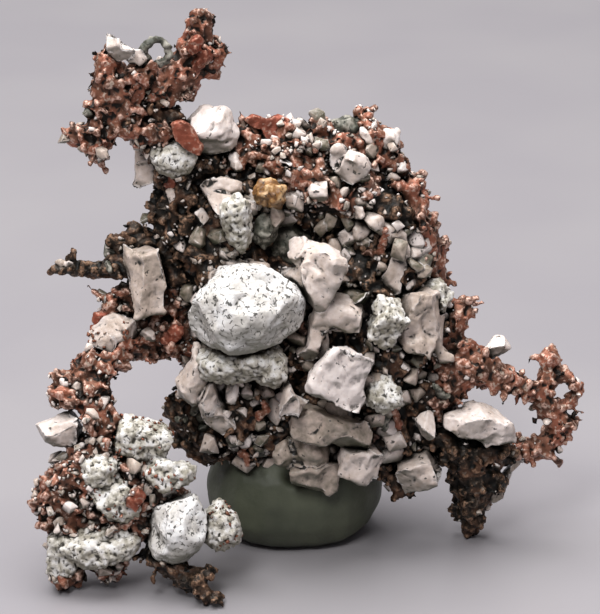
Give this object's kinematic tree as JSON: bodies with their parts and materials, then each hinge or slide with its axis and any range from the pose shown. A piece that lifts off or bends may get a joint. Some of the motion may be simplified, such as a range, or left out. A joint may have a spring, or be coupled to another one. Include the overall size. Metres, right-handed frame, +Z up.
{
  "type": "native copper nugget",
  "caption": "Branching native copper specimen grown through white calcite and quartz grains, standing in a round lump of display putty.",
  "frame": {"origin": "centre of the putty's flat foot, on the shelf that the specimen stands on", "axes": "+X to the right and -Y towards the viewer on the show side, +Z up out of the shelf"},
  "size_m": [0.0885, 0.0472, 0.0886],
  "materials": {
    "copper": "tarnished native copper, hackly, brown in the hollows and red on the tips",
    "bright_copper": "freshly worn native copper leaf, matte red",
    "calcite": "white to cream calcite, waxy and slightly see-through, broken faces",
    "sugar_quartz": "sugary white quartz, matte, with dark specks in its pits",
    "chlorite": "grey-green chlorite and quartz crust, dull",
    "gilt": "golden-brown stained nodule, satin",
    "putty": "dark green display putty, hand pressed, dull with small dents"
  },
  "bodies": {
    "root": {"copper_leaf_neck": "bright_copper", "copper_leaf_crest": "bright_copper", "quartz_pebble": "sugar_quartz", "calcite_slab": "calcite", "milky_calcite_column": "calcite", "calcite_ovoid": "calcite", "calcite_tablets_right": "calcite", "calcite_wedge_mid": "calcite", "glassy_grain_mid": "chlorite", "drusy_grain_mid": "sugar_quartz", "drusy_grain_low": "sugar_quartz", "rough_quartz_right": "sugar_quartz", "quartz_ledge": "chlorite", "calcite_lobes_left": "calcite", "calcite_shelf": "chlorite", "calcite_cobble_low": "calcite", "calcite_cobble_right": "calcite", "calcite_bead_right": "calcite", "glassy_calcite_ridge": "calcite", "tooth_grains": "calcite", "calcite_crown_boulder": "calcite", "calcite_crown_tips": "calcite", "milky_calcite_neck": "calcite", "drusy_crust_neck": "sugar_quartz", "calcite_brow": "calcite", "drusy_crust_brow": "sugar_quartz", "calcite_crest_cream": "calcite", "calcite_crest_grey": "chlorite", "calcite_crest_tablets": "calcite", "gilt_nodule": "gilt", "chlorite_matrix": "chlorite", "calcite_crumbs_upper_right": "calcite", "calcite_spike_grain": "calcite", "calcite_arch_grain": "calcite", "calcite_lobe_pale": "calcite", "drusy_lobe_top": "sugar_quartz", "drusy_lobe_crust": "sugar_quartz", "quartz_lobe_boulder": "sugar_quartz", "drusy_lobe_cluster": "chlorite", "drusy_lobe_foot": "sugar_quartz", "calcite_back_top": "calcite", "quartz_back_left": "sugar_quartz", "calcite_back_middle": "calcite", "quartz_back_boulder": "sugar_quartz", "calcite_back_right": "calcite", "calcite_back_low": "calcite", "copper_body": "copper", "copper_neck": "copper", "copper_horn": "copper", "copper_column": "copper", "copper_crest": "copper", "copper_wall": "copper", "copper_spike": "copper", "copper_arch": "copper", "copper_lobe": "copper", "copper_tail": "copper", "copper_underside": "copper", "copper_arm": "copper", "copper_tooth": "copper", "putty_foot": "putty"}
  },
  "joints": []
}
